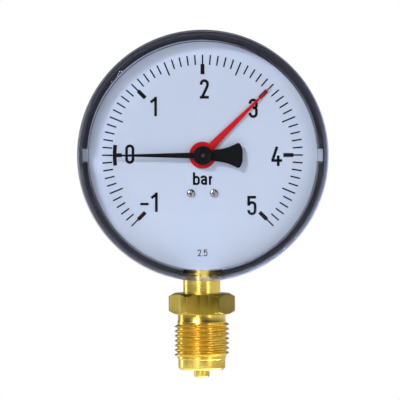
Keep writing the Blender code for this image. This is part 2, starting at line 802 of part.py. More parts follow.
def build_plates():
    """Two plates held apart by three pillars; the front one is screwed to the stem's block."""
    pivot = sector_pivot()
    journals = [(0.0, 0.0), pivot]
    front_corners = [
        (-9.6, 8.2),
        (-9.6, -10.7),
        (-6.8, -10.9),
        (-6.8, -22.0),
        (6.8, -22.0),
        (8.2, -17.0),
        (14.5, -17.0),
        (18.3, -5.0),
        (16.5, -1.3),
        (3.0, 8.2),
    ]
    y0, y1 = FRONT_PLATE_Y
    screws = [(x, z) for x in screw_places() for z in (DIAL_SCREW_Z, SOCKET_SCREW_Z)]
    holes = joined(
        *[rod(x, z, JOURNAL_RADIUS + 0.15, y0 - 1, y1 + 1) for x, z in journals],
        *[rod(x, z, 0.95, y0 - 1, y1 + 1) for x, z in PILLARS],
        *[rod(x, z, 1.25, y0 - 1, y1 + 1) for x, z in screws],
    )
    front = prism(rounded(front_corners, 1.2, 3), y0, y1)
    add_object("movement_front_plate", front, BRASS, cut=[holes])

    back_corners = [
        (-9.6, 8.2),
        (-9.6, -10.7),
        (7.6, -10.9),
        (8.6, -17.0),
        (14.5, -17.0),
        (18.3, -5.0),
        (16.5, -1.3),
        (3.0, 8.2),
    ]
    y0, y1 = BACK_PLATE_Y
    holes = joined(
        *[rod(x, z, JOURNAL_RADIUS + 0.15, y0 - 1, y1 + 1) for x, z in journals],
        *[rod(x, z, 0.8, y0 - 1, y1 + 1) for x, z in PILLARS],
    )
    back = prism(rounded(back_corners, 1.2, 3), y0, y1)
    add_object("movement_back_plate", back, BRASS, cut=[holes])

    pillars, bolts = [], []
    for x, z in PILLARS:
        profile = [
            (0, FRONT_PLATE_Y[0] - 0.1),
            (0.8, FRONT_PLATE_Y[0] - 0.1),
            (0.8, FRONT_PLATE_Y[1] + GAP),
            (1.75, FRONT_PLATE_Y[1] + GAP),
            (1.75, BACK_PLATE_Y[0] - GAP),
            (0.7, BACK_PLATE_Y[0] - GAP),
            (0.7, BACK_PLATE_Y[0] - 3.5),
            (0, BACK_PLATE_Y[0] - 3.5),
        ]
        pillars.append(turned(profile, 12, "y", (x, z)))
        seat = BACK_PLATE_Y[1] + GAP
        bolts.append(pan_screw(x, z, 1.6, 0.5, seat, 0.9, BACK_PLATE_Y[0] - 3.0, pointing=-1))
    add_each("movement_pillar", pillars, BRASS)
    add_each("movement_screw", bolts, STEEL)


# ---- pointers -----------------------------------------------------------------------------


def build_pointer():
    """Tapered blade towards zero at 9 o'clock, with a flared counterweight tail."""
    upper = [
        (-POINTER_LENGTH, 0.18),
        *arc(3.0, 157, 28, 8),
        (5.6, 2.0),
        (9.6, 2.6),
        (13.2, 4.6),
        (14.2, 4.9),
        (15.0, 4.1),
        (15.5, 2.0),
    ]
    lower = [(x, -z) for x, z in reversed(upper)]
    blade = prism(upper + [(15.6, 0.0)] + lower, *POINTER_Y)
    hole = rod(0, 0, 1.8, POINTER_Y[0] - 1, POINTER_Y[1] + 1, 20)
    add_object("pointer", blade, BLACK_LACQUER, cut=[hole])
    bore = JOURNAL_RADIUS + 0.12
    profile = [
        (bore, -10.2),
        (2.3, -10.2),
        (2.3, POINTER_Y[1] + GAP),
        (1.5, POINTER_Y[1] + GAP),
        (1.5, POINTER_Y[0] - GAP),
        (HUB_RADIUS, POINTER_Y[0] - GAP),
        (HUB_RADIUS, HUB_FRONT + 0.3),
        (HUB_RADIUS - 0.4, HUB_FRONT),
        (2.3, HUB_FRONT),
        (1.9, HUB_FRONT + 0.3),
        (bore, HUB_FRONT + 0.3),
    ]
    add_object("pointer_hub", turned(profile, 24, ring=True), BLACK_LACQUER)


def build_set_pointer():
    """Red blade on a disc, gripped between the dial and its bush; drawn at 12 o'clock."""
    half = 1.5
    side = math.degrees(math.acos(half / SET_POINTER_DISC))
    outline = [(0.15, POINTER_LENGTH), (-0.15, POINTER_LENGTH)]
    outline += arc(SET_POINTER_DISC, 180 - side, 360 + side, 30)
    blade = prism(outline, *SET_POINTER_Y)
    hole = rod(0, 0, 3.1, SET_POINTER_Y[0] - 1, SET_POINTER_Y[1] + 1, 24)
    add_object("set_pointer", spun_about_dial(blade, SET_POINTER_DEGREES), RED_LACQUER, cut=[hole])
    profile = [
        (1.6, -6.6),
        (3.9, -6.6),
        (3.9, DIAL_BACK + GAP),
        (2.8, DIAL_BACK + GAP),
        (2.8, SET_POINTER_Y[0] - GAP),
        (3.4, SET_POINTER_Y[0] - GAP),
        (3.4, -9.9),
        (1.6, -9.9),
    ]
    add_object("set_pointer_bush", turned(profile, 24, ring=True), BRASS)


def build_gauge():
    clear_scene()
    build_case()
    build_window()
    build_dial()
    build_dial_fixings()
    build_stem()
    build_fixing_screws()
    build_bourdon_tube()
    build_tip()
    build_link()
    build_sector()
    build_pinion()
    build_hairspring()
    build_plates()
    build_pointer()
    build_set_pointer()


build_gauge()
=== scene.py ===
"""Looks of the pressure gauge: studio, then every piece from the case outwards to the window."""

import json
import math

import bpy
from mathutils import Matrix, Vector


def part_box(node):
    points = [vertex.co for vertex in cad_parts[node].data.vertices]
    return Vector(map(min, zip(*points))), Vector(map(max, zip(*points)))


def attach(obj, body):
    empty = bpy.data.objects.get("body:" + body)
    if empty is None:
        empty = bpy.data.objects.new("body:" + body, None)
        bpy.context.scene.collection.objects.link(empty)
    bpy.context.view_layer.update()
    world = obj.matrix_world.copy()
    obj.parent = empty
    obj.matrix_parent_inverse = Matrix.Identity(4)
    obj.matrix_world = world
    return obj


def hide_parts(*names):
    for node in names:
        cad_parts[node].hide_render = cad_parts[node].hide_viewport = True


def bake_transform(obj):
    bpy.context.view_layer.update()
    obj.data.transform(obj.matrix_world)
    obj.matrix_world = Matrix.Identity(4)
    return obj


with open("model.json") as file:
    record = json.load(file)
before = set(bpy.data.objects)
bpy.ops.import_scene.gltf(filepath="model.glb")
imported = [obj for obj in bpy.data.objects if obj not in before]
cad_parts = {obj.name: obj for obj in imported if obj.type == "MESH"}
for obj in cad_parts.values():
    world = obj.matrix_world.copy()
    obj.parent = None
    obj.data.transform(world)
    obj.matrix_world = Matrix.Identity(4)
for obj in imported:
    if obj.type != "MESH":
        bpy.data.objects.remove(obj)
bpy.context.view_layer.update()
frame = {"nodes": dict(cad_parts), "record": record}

# ---- Studio -------------------------------------------------------------------------------
# White sweep of a product table, a soft key high on the left, a broad fill, tall strips at the
# sides and a low bounce behind on the right. The room is brightest low and on the right and
# dim behind the camera, so that the brass shows broad bright and dark bands.

MM = 0.001
dial_low, dial_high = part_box("dial")
DIAL_Z = (dial_low.z + dial_high.z) / 2
DIAL_FACE = dial_low.y

VIEW_AZIMUTH, VIEW_ELEVATION = -1.8, 2.4
VIEW_DISTANCE = 4.0
VIEW_WIDTH = 153.2 * MM
SENSOR_WIDTH = 36.0
AIM = Vector((-0.7 * MM, 0.0, DIAL_Z - 17.5 * MM))


def from_front(azimuth, elevation, distance):
    """A place seen from AIM, azimuth to the right of straight ahead and elevation up."""
    a, e = math.radians(azimuth), math.radians(elevation)
    offset = Vector((math.sin(a) * math.cos(e), -math.cos(a) * math.cos(e), math.sin(e)))
    return AIM + offset * distance


def face_towards(thing, target):
    thing.rotation_euler = (target - thing.location).to_track_quat("-Z", "Y").to_euler()


lens = bpy.data.cameras.new("camera")
lens.sensor_width = SENSOR_WIDTH
lens.lens = SENSOR_WIDTH / (2 * math.tan(math.atan(VIEW_WIDTH / 2 / VIEW_DISTANCE)))
lens.clip_start, lens.clip_end = 0.1, 50.0
camera = bpy.data.objects.new("camera", lens)
camera.location = from_front(VIEW_AZIMUTH, VIEW_ELEVATION, VIEW_DISTANCE)
face_towards(camera, AIM)
bpy.context.scene.collection.objects.link(camera)
bpy.context.scene.camera = camera
bpy.context.scene.view_settings.view_transform = "Standard"


def soft_light(name, azimuth, elevation, distance, width, height, watts, colour):
    panel = bpy.data.lights.new(name, "AREA")
    panel.shape = "RECTANGLE"
    panel.size, panel.size_y = width, height
    panel.energy = watts
    panel.color = colour
    lamp = bpy.data.objects.new(name, panel)
    lamp.location = from_front(azimuth, elevation, distance)
    face_towards(lamp, AIM)
    bpy.context.scene.collection.objects.link(lamp)
    return lamp


soft_light("key", -31, 27, 3.0, 0.40, 0.40, 43.0, (1.0, 0.98, 0.95))
fill = soft_light("fill", 20, -4, 2.6, 2.4, 2.0, 20.0, (1.0, 0.99, 0.97))
fill.visible_glossy = False
soft_light("strip", -22, 4, 2.4, 0.20, 1.4, 6.5, (1.0, 0.98, 0.94))
soft_light("panel_left", -118, 4, 1.5, 0.30, 1.0, 3.2, (0.92, 0.98, 1.0))
soft_light("panel_right", 38, -12, 2.4, 0.50, 1.4, 8.0, (1.0, 0.96, 0.90))
bounce = soft_light("bounce", 118, -36, 0.42, 0.25, 0.25, 22.0, (0.72, 0.78, 1.0))
bounce.visible_camera = bounce.visible_glossy = bounce.visible_transmission = False

world = bpy.data.worlds.new("room")
bpy.context.scene.world = world
world.use_nodes = True
nodes, links = world.node_tree.nodes, world.node_tree.links
room = nodes["Background"]
room.inputs["Color"].default_value = (0.90, 0.91, 1.0, 1.0)
direction = nodes.new("ShaderNodeTexCoord")
split = nodes.new("ShaderNodeSeparateXYZ")
links.new(direction.outputs["Generated"], split.inputs["Vector"])


def room_ramp(axis, start, end, low, high):
    """Strength that changes smoothly with one component of the direction."""
    ramp = nodes.new("ShaderNodeMapRange")
    ramp.interpolation_type = "SMOOTHSTEP"
    for field, value in zip(("From Min", "From Max", "To Min", "To Max"), (start, end, low, high)):
        ramp.inputs[field].default_value = value
    links.new(split.outputs[axis], ramp.inputs["Value"])
    return ramp.outputs["Result"]


level = nodes.new("ShaderNodeMath")
level.operation = "MULTIPLY"
links.new(room_ramp("Y", -0.97, -0.45, 0.22, 1.0), level.inputs[0])
links.new(room_ramp("Z", -0.60, 0.50, 1.6, 0.04), level.inputs[1])
sideways = nodes.new("ShaderNodeMath")
sideways.operation = "MULTIPLY"
links.new(room_ramp("X", -0.7, 0.5, 0.35, 1.25), sideways.inputs[0])
links.new(level.outputs["Value"], sideways.inputs[1])
links.new(sideways.outputs["Value"], room.inputs["Strength"])
seen = nodes.new("ShaderNodeBackground")
seen.inputs["Color"].default_value = (1.0, 1.0, 1.0, 1.0)
path = nodes.new("ShaderNodeLightPath")
either = nodes.new("ShaderNodeMixShader")
links.new(path.outputs["Is Camera Ray"], either.inputs["Fac"])
links.new(room.outputs["Background"], either.inputs[1])
links.new(seen.outputs["Background"], either.inputs[2])
links.new(either.outputs["Shader"], nodes["World Output"].inputs["Surface"])


def deselect():
    bpy.ops.object.select_all(action="DESELECT")


def new_material(name, colour, roughness, metallic=0.0):
    """A Principled material; returns it with its node tree and shader."""
    made = bpy.data.materials.new(name)
    made.use_nodes = True
    shader = made.node_tree.nodes["Principled BSDF"]
    shader.inputs["Base Color"].default_value = (*colour, 1.0)
    shader.inputs["Roughness"].default_value = roughness
    shader.inputs["Metallic"].default_value = metallic
    return made, made.node_tree, shader


FLOOR_SIZE, FLOOR_PLACE = 6.0, (0.0, 0.75, -0.25)
deselect()
bpy.ops.mesh.primitive_plane_add(size=FLOOR_SIZE, location=FLOOR_PLACE)
floor = bpy.context.object
floor.name = "floor"
bpy.ops.object.mode_set(mode="EDIT")
bpy.ops.mesh.select_all(action="SELECT")
bpy.ops.mesh.subdivide(number_cuts=1)
bpy.ops.object.mode_set(mode="OBJECT")
sweep, _, sweep_shader = new_material("sweep", (0.93, 0.93, 0.94), 0.8)
sweep_shader.inputs["Emission Color"].default_value = (1.0, 1.0, 1.0, 1.0)
sweep_shader.inputs["Emission Strength"].default_value = 0.35
floor.data.materials.append(sweep)

# ---- Case ---------------------------------------------------------------------------------
# Cup moulded in black ABS with a fine satin skin: floor with a raised standing rim, drafted
# wall, notches at both sides for the dial's tabs, and at the bottom the slot in which the
# stem's neck lies. Two screws from the back hold it on the stem's block.


def node_at(tree, kind, **values):
    made = tree.nodes.new(kind)
    for key, value in values.items():
        made.inputs[key.replace("_", " ")].default_value = value
    return made


def object_place(tree, scale=(1.0, 1.0, 1.0)):
    """Object coordinates, stretched by scale."""
    place = tree.nodes.new("ShaderNodeTexCoord")
    mapping = tree.nodes.new("ShaderNodeMapping")
    mapping.inputs["Scale"].default_value = scale
    tree.links.new(place.outputs["Object"], mapping.inputs["Vector"])
    return mapping.outputs["Vector"]


def noise(tree, scale, detail=3.0, stretch=(1.0, 1.0, 1.0)):
    made = node_at(tree, "ShaderNodeTexNoise", Scale=scale, Detail=detail)
    tree.links.new(object_place(tree, stretch), made.inputs["Vector"])
    return made.outputs["Fac"]


def ranged(tree, source, low, high, start=0.3, end=0.7):
    """source between start and end mapped to low..high."""
    limits = {"From_Min": start, "From_Max": end, "To_Min": low, "To_Max": high}
    made = node_at(tree, "ShaderNodeMapRange", **limits)
    tree.links.new(source, made.inputs["Value"])
    return made.outputs["Result"]


def bump(tree, shader, source, strength, depth):
    made = node_at(tree, "ShaderNodeBump", Strength=strength, Distance=depth)
    tree.links.new(source, made.inputs["Height"])
    tree.links.new(made.outputs["Normal"], shader.inputs["Normal"])


def blended(tree, source, first, second):
    made = tree.nodes.new("ShaderNodeMix")
    made.data_type = "RGBA"
    made.inputs["A"].default_value = (*first, 1.0)
    made.inputs["B"].default_value = (*second, 1.0)
    tree.links.new(source, made.inputs["Factor"])
    return made.outputs["Result"]


def lathe(name, outline, axis, centre, steps):
    """The outline, extruded corner by corner from one point and spun a full turn."""
    deselect()
    bpy.ops.mesh.primitive_plane_add(size=MM, location=outline[0])
    piece = bpy.context.object
    piece.name = piece.data.name = name
    bpy.ops.object.transform_apply(location=True, rotation=False, scale=False)
    bpy.ops.object.mode_set(mode="EDIT")
    bpy.ops.mesh.select_all(action="SELECT")
    bpy.ops.mesh.merge(type="CENTER")
    for here, there in zip(outline, outline[1:]):
        step = Vector(there) - Vector(here)
        bpy.ops.mesh.extrude_region_move(TRANSFORM_OT_translate={"value": step})
    bpy.ops.mesh.select_all(action="SELECT")
    bpy.ops.mesh.spin(steps=steps, angle=2 * math.pi, center=centre, axis=axis)
    bpy.ops.mesh.select_all(action="SELECT")
    bpy.ops.mesh.remove_doubles(threshold=0.002 * MM)
    bpy.ops.mesh.normals_make_consistent(inside=False)
    bpy.ops.object.mode_set(mode="OBJECT")
    return piece


def about_dial(pairs):
    """(radius, y) pairs in millimetres as points beside the dial's axis."""
    return [(r * MM, y * MM, DIAL_Z) for r, y in pairs]


def quarter_round(radius, centre_r, centre_y, start, end, steps=6):
    """Arc of an outline from start to end degrees, 0 outwards and 90 to the back."""
    turn = (end - start) / steps
    angles = [math.radians(start + turn * i) for i in range(steps + 1)]
    return [
        (centre_r + radius * math.cos(a), centre_y + radius * math.sin(a)) for a in angles
    ]


def use(piece, kind, **settings):
    """Adds a modifier and applies it."""
    deselect()
    piece.select_set(True)
    bpy.context.view_layer.objects.active = piece
    modifier = piece.modifiers.new(kind.lower(), kind)
    for key, value in settings.items():
        setattr(modifier, key, value)
    bpy.ops.object.modifier_apply(modifier=modifier.name)


def weld(piece):
    """Closes the slivers that cuts and bevels leave."""
    deselect()
    piece.select_set(True)
    bpy.context.view_layer.objects.active = piece
    bpy.ops.object.mode_set(mode="EDIT")
    bpy.ops.mesh.select_all(action="SELECT")
    bpy.ops.mesh.remove_doubles(threshold=0.0004 * MM)
    bpy.ops.mesh.fill_holes(sides=4)
    bpy.ops.object.mode_set(mode="OBJECT")


def soften(piece, width, angle=35):
    """Rounds every sharp edge and shades the rest smooth."""
    use(
        piece,
        "BEVEL",
        width=width * MM,
        segments=2,
        limit_method="ANGLE",
        angle_limit=math.radians(angle),
        use_clamp_overlap=True,
    )
    weld(piece)
    bpy.ops.object.shade_smooth_by_angle(angle=math.radians(angle))


def cut_away(piece, tool, operation="DIFFERENCE"):
    use(piece, "BOOLEAN", operation=operation, object=tool, solver="EXACT")
    bpy.data.objects.remove(tool, do_unlink=True)


def block(name, low, high):
    """A box between two corners in millimetres, z counted from the dial's centre."""
    low, high = Vector(low), Vector(high)
    deselect()
    middle = (low + high) / 2 * MM + Vector((0, 0, DIAL_Z))
    bpy.ops.mesh.primitive_cube_add(size=1.0, location=middle, scale=(high - low) * MM)
    made = bpy.context.object
    made.name = name
    bpy.ops.object.transform_apply(location=True, rotation=True, scale=True)
    return made


def round_bar(name, x, z, radius, front, back, sides=48):
    """A cylinder along y, in millimetres, z counted from the dial's centre."""
    deselect()
    bpy.ops.mesh.primitive_cylinder_add(
        vertices=sides,
        radius=radius * MM,
        depth=(back - front) * MM,
        location=(x * MM, (front + back) / 2 * MM, DIAL_Z + z * MM),
        rotation=(math.pi / 2, 0, 0),
    )
    made = bpy.context.object
    made.name = name
    bpy.ops.object.transform_apply(location=True, rotation=True, scale=True)
    return made


def upright_bar(radius, middle, height, sides):
    """A cylinder along z on the stem's axis, in millimetres, z counted from the dial's centre."""
    deselect()
    bpy.ops.mesh.primitive_cylinder_add(
        vertices=sides,
        radius=radius * MM,
        depth=height * MM,
        location=(0, 0, DIAL_Z + middle * MM),
    )
    bpy.ops.object.transform_apply(location=True, rotation=True, scale=True)
    return bpy.context.object


def finish_piece(piece, body, slot, *materials):
    for made in materials:
        piece.data.materials.append(made)
    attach(piece, body)


case_low, case_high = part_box("case")
CASE_BACK = case_high.y / MM
CASE_FRONT = case_low.y / MM
CASE_RADIUS = (case_high.x - case_low.x) / 2 / MM
CASE_SCREWS = [
    (low.z + high.z) / 2 - DIAL_Z for low, high in map(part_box, ("case_screw_1", "case_screw_2"))
]

WALL_INSIDE = 44.3
FLOOR_INSIDE = 9.3
NECK_SLOT = 7.6
SLOT_MIDDLE, SLOT_LENGTH, SLOT_END = -46.75, 10.5, -41.5
NOTCH_START, NOTCH_END, NOTCH_HALF, NOTCH_FLOOR = 43.0, 45.6, 2.7, -7.2
SCREW_SINK, SCREW_HOLE = 2.9, 1.55
case_outline = [
    (0, CASE_BACK - 0.5),
    (36.5, CASE_BACK - 0.5),
    (37.0, CASE_BACK),
    *reversed(quarter_round(2.3, CASE_RADIUS - 3.5, CASE_BACK - 2.3, 0, 90)),
    (CASE_RADIUS - 0.3, -7.8),
    (CASE_RADIUS, CASE_FRONT + 0.4),
    (CASE_RADIUS - 0.4, CASE_FRONT),
    (WALL_INSIDE, CASE_FRONT),
    (WALL_INSIDE - 0.4, 7.8),
    (WALL_INSIDE - 1.9, FLOOR_INSIDE),
    (0, FLOOR_INSIDE),
]
case = lathe("case_shell", about_dial(case_outline), (0, 1, 0), (0, 0, DIAL_Z), 192)
cut_away(case, block("tool", (-NECK_SLOT, -20, -52), (NECK_SLOT, 0, SLOT_END)))
cut_away(case, upright_bar(NECK_SLOT, SLOT_MIDDLE, SLOT_LENGTH, 64))
for side in (-1, 1):
    near, far = sorted((side * NOTCH_START, side * NOTCH_END))
    cut_away(case, block("tool", (near, -20, -NOTCH_HALF), (far, NOTCH_FLOOR, NOTCH_HALF)))
for height in CASE_SCREWS:
    cut_away(case, round_bar("tool", 0, height / MM, SCREW_SINK, 8.9, 13))
    cut_away(case, round_bar("tool", 0, height / MM, SCREW_HOLE, 4, 9))
soften(case, 0.12)

black_plastic, tree, shader = new_material("black_abs", (0.004, 0.004, 0.006), 0.34)
shader.inputs["Specular IOR Level"].default_value = 0.2
grain = noise(tree, 5200.0, 2.0)
bump(tree, shader, grain, 0.06, 0.01 * MM)
haze = noise(tree, 90.0, 4.0)
tree.links.new(ranged(tree, haze, 0.28, 0.42), shader.inputs["Roughness"])
tree.links.new(
    blended(tree, haze, (0.004, 0.004, 0.007), (0.008, 0.008, 0.012)), shader.inputs["Base Color"]
)
finish_piece(case, "housing", "case_plastic", black_plastic)
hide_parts("case")

# ---- Stem ---------------------------------------------------------------------------------
# Turned from a hexagon brass bar: neck, 22 mm hexagon chamfered on both faces, undercut,
# G 1/2 B thread cut as one right-hand helix, plain land, sealing face and centring spigot.

SEAL = -DIAL_Z / MM
HEX_TOP, HEX_BOTTOM = -53.2, -61.2
HEX_FLAT = 11.0
HEX_CORNER = HEX_FLAT / math.cos(math.radians(30))
THREAD_TOP, THREAD_END = -63.7, -78.2
THREAD_PITCH = 1.814
THREAD_OUTER, THREAD_ROOT = 20.955 / 2, 18.631 / 2
THREAD_TURNS = 7.6
THREAD_SINK = 8.9
RUN_OUT = 0.45
LAND = 9.0
NECK = 7.1
UNDERCUT = 9.15
NECK_TOP = -39.5
SPIGOT, SPIGOT_LENGTH = 3.0, 3.0
BORE, BORE_TOP = 1.5, -28.9
stem_outline = [
    (0, NECK_TOP),
    (NECK, NECK_TOP),
    (NECK, HEX_TOP - 2),
    (UNDERCUT, HEX_TOP - 3),
    (UNDERCUT, THREAD_TOP + 0.1),
    (THREAD_ROOT, THREAD_TOP - 0.2),
    (THREAD_ROOT, THREAD_END),
    (LAND, THREAD_END - 0.4),
    (LAND, SEAL + 0.8),
    (LAND - 0.8, SEAL),
    (SPIGOT, SEAL),
    (SPIGOT, SEAL - SPIGOT_LENGTH + 0.6),
    (SPIGOT - 0.6, SEAL - SPIGOT_LENGTH),
    (BORE, SEAL - SPIGOT_LENGTH),
    (BORE, BORE_TOP),
    (0, BORE_TOP + BORE),
]


def about_stem(pairs):
    """(radius, z) pairs in millimetres, z counted from the dial's centre."""
    return [(r * MM, 0, DIAL_Z + z * MM) for r, z in pairs]


def edge_ring(name, corners):
    """A closed ring of edges through the corners, extruded one by one from the first."""
    deselect()
    bpy.ops.mesh.primitive_plane_add(size=MM, location=corners[0])
    ring = bpy.context.object
    ring.name = ring.data.name = name
    bpy.ops.object.transform_apply(location=True, rotation=False, scale=False)
    bpy.ops.object.mode_set(mode="EDIT")
    bpy.ops.mesh.select_all(action="SELECT")
    bpy.ops.mesh.merge(type="CENTER")
    for here, there in zip(corners, corners[1:] + corners[:1]):
        step = Vector(there) - Vector(here)
        bpy.ops.mesh.extrude_region_move(TRANSFORM_OT_translate={"value": step})
    bpy.ops.mesh.select_all(action="SELECT")
    bpy.ops.mesh.remove_doubles(threshold=0.002 * MM)
    bpy.ops.object.mode_set(mode="OBJECT")
    return ring


stem = lathe("stem_turned", about_stem(stem_outline), (0, 0, 1), (0, 0, 0), 192)
deselect()
bpy.ops.mesh.primitive_cylinder_add(
    vertices=6,
    radius=HEX_CORNER * MM,
    depth=(HEX_TOP - HEX_BOTTOM) * MM,
    location=(0, 0, DIAL_Z + (HEX_TOP + HEX_BOTTOM) / 2 * MM),
    rotation=(0, 0, math.radians(30)),
)
hexagon = bpy.context.object
hexagon.name = "hexagon"
bpy.ops.object.transform_apply(location=True, rotation=True, scale=True)
cone_drop = (HEX_CORNER + 0.5 - HEX_FLAT) * math.tan(math.radians(30))
cone_outline = [
    (0, HEX_TOP),
    (HEX_FLAT - 0.4, HEX_TOP),
    (HEX_CORNER + 0.1, HEX_TOP - cone_drop),
    (HEX_CORNER + 0.1, HEX_BOTTOM + cone_drop),
    (HEX_FLAT - 0.4, HEX_BOTTOM),
    (0, HEX_BOTTOM),
]
cone = lathe("cone", about_stem(cone_outline), (0, 0, 1), (0, 0, 0), 192)
cut_away(hexagon, cone, "INTERSECT")
cut_away(hexagon, upright_bar(BORE, -58.9, 60, 192))
cut_away(stem, hexagon, "UNION")
socket_block = block("block", (-7, -5, -41.5), (7, 5, -13))
cut_away(socket_block, upright_bar(BORE, -38.9, 20, 32))
cut_away(stem, socket_block, "UNION")
MOVEMENT_TAP, CASE_TAP = 1.15, 1.4
for x in (-4.4, 4.4):
    for z in (-14.6, -19.5):
        cut_away(stem, round_bar("tool", x, z, MOVEMENT_TAP, -6, -2, 24))
for height in CASE_SCREWS:
    cut_away(stem, round_bar("tool", 0, height / MM, CASE_TAP, 2.6, 6, 24))
soften(stem, 0.10, 40)

thread_flank = [
    (THREAD_SINK, 0.46),
    (THREAD_ROOT, 0.43),
    (THREAD_OUTER - 0.12, 0.09),
    (THREAD_OUTER, 0.045),
]
thread_profile = [(r, -dz) for r, dz in thread_flank] + thread_flank[::-1]
thread_low = THREAD_END + 0.4
ridge_points = about_stem([(r, thread_low + dz * THREAD_PITCH) for r, dz in thread_profile])
ridge = edge_ring("ridge", ridge_points)
wraps = math.ceil(THREAD_TURNS)
use(
    ridge,
    "SCREW",
    axis="Z",
    angle=2 * math.pi * THREAD_TURNS / wraps,
    screw_offset=THREAD_PITCH * MM * THREAD_TURNS / wraps,
    iterations=wraps,
    steps=96,
    render_steps=96,
    use_merge_vertices=False,
)
for corner in ridge.data.vertices:
    turn = math.atan2(corner.co.y, corner.co.x) / (2 * math.pi)
    rise = ((corner.co.z - DIAL_Z) / MM - thread_low) / THREAD_PITCH
    along = round(rise - turn) + turn
    radius = math.hypot(corner.co.x, corner.co.y) / MM
    height_kept = min(max(min(along, THREAD_TURNS - along) / RUN_OUT, 0.0), 1.0)
    scale = (THREAD_SINK + (radius - THREAD_SINK) * height_kept) / radius
    corner.co.x *= scale
    corner.co.y *= scale
bpy.ops.object.mode_set(mode="EDIT")
bpy.ops.mesh.select_all(action="SELECT")
bpy.ops.mesh.fill_holes(sides=0)
bpy.ops.mesh.select_all(action="SELECT")
bpy.ops.mesh.normals_make_consistent(inside=False)
bpy.ops.object.mode_set(mode="OBJECT")
cut_away(stem, ridge, "UNION")
weld(stem)
bpy.ops.object.shade_smooth_by_angle(angle=math.radians(32))


def brass_look(name, lines, bright, deep, roughness):
    """Machined brass whose tool marks run where lines stretches the noise least."""
    made, tree, shader = new_material(name, bright, roughness, 1.0)
    marks = noise(tree, 1.0, 2.0, lines)
    bump(tree, shader, marks, 0.22, 0.012 * MM)
    tarnish = noise(tree, 140.0, 4.0)
    colour = blended(tree, ranged(tree, tarnish, 0, 1), bright, deep)
    tree.links.new(colour, shader.inputs["Base Color"])
    dullness = ranged(tree, marks, roughness * 0.8, roughness * 1.35)
    tree.links.new(dullness, shader.inputs["Roughness"])
    return made


turned_brass = brass_look(
    "turned_brass", (60, 60, 5200), (0.90, 0.69, 0.165), (0.83, 0.58, 0.10), 0.27
)
# Painted shade: the hexagon's flats get a far darker copy of the same brass, standing in for the
# dim room they reflect; only the drawing marks along the bar are real.
drawn_brass_painted_shade = brass_look(
    "drawn_brass_painted_shade", (2600, 2600, 60), (0.36, 0.255, 0.035), (0.30, 0.21, 0.027), 0.32
)
finish_piece(stem, "housing", "stem_brass", turned_brass, drawn_brass_painted_shade)
# The hexagon's flats take the second material, the brass darkened with painted shade.
for face in stem.data.polygons:
    height = (face.center.z - DIAL_Z) / MM
    flat = HEX_BOTTOM < height < HEX_TOP and abs(face.normal.z) < 0.05
    if flat and math.hypot(face.center.x, face.center.y) > (HEX_FLAT - 0.1) * MM:
        face.material_index = 1
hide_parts("stem")

# ---- Dial ---------------------------------------------------------------------------------
# Disc stamped from 0.5 mm aluminium and lacquered white, with a tab on each side that drops
# into the case's notches, a hole for the pointer shaft and two for the screws.

DIAL_RADIUS = 44.0
DIAL_HOLE = 3.2
TAB_START, TAB_END, TAB_HALF = 42.0, 45.4, 2.4
face_y = DIAL_FACE / MM
dial_back = face_y + 0.5


def washer(name, hole, rim, front, back, steps):
    """A flat ring about the dial's axis, in millimetres."""
    outline = [(hole, front), (rim, front), (rim, back), (hole, back), (hole, front)]
    return lathe(name, about_dial(outline), (0, 1, 0), (0, 0, DIAL_Z), steps)


dial = washer("dial_disc", DIAL_HOLE, DIAL_RADIUS, face_y, dial_back, 192)
for side in (-1, 1):
    near, far = sorted((side * TAB_START, side * TAB_END))
    cut_away(dial, block("tab", (near, face_y, -TAB_HALF), (far, dial_back, TAB_HALF)), "UNION")
screw_boxes = [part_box(f"dial_screw_{n}") for n in (1, 2)]
DIAL_SCREWS = [
    ((low.x + high.x) / 2 / MM, ((low.z + high.z) / 2 - DIAL_Z) / MM) for low, high in screw_boxes
]
for x, z in DIAL_SCREWS:
    cut_away(dial, round_bar("tool", x, z, 1.1, face_y - 1, face_y + 2))
soften(dial, 0.06)

lacquer, tree, shader = new_material("dial_lacquer", (0.60, 0.67, 0.79), 0.42)
speck = noise(tree, 900.0, 3.0)
bump(tree, shader, speck, 0.05, 0.01 * MM)
cloud = noise(tree, 30.0, 3.0)
tree.links.new(
    blended(tree, ranged(tree, cloud, 0, 1), (0.59, 0.66, 0.78), (0.61, 0.68, 0.80)),
    shader.inputs["Base Color"],
)
finish_piece(dial, "housing", "dial_white", lacquer)
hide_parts("dial")

# ---- Dial print ---------------------------------------------------------------------------
# Scale from -1 to 5 over 270 degrees, screen-printed in black: a mark for every tenth, longer
# ones for halves, blocks and condensed numerals for whole values, a short arc at zero, the
# unit in the middle and a class figure at the bottom.

INK = 0.03
INK_BACK = face_y - 0.01
SCALE_RADIUS = 38.4
FIRST_VALUE, LAST_VALUE, STEPS_PER_BAR = -1, 5, 10
DEGREES_PER_BAR = 45.0
MARK_WIDTH, TENTH_MARK, HALF_MARK = 0.56, 3.8, 5.45
BLOCK_WIDTH, BLOCK_START, BLOCK_END = 1.5, 3.6, 7.5
ZERO_OUTER, ZERO_INNER = 32.9, 30.8
ink_pieces = []


def value_angle(value):
    """Degrees clockwise from 12 o'clock; zero is at 9 o'clock."""
    return -90.0 + DEGREES_PER_BAR * value


def mark(value, outer, inner, width):
    """A radial bar of print."""
    bar = block("mark", (-width / 2, INK_BACK - INK, inner), (width / 2, INK_BACK, outer))
    turn = Matrix.Rotation(math.radians(value_angle(value)), 4, "Y")
    middle = Matrix.Translation((0, 0, DIAL_Z))
    bar.data.transform(middle @ turn @ middle.inverted())
    ink_pieces.append(bar)


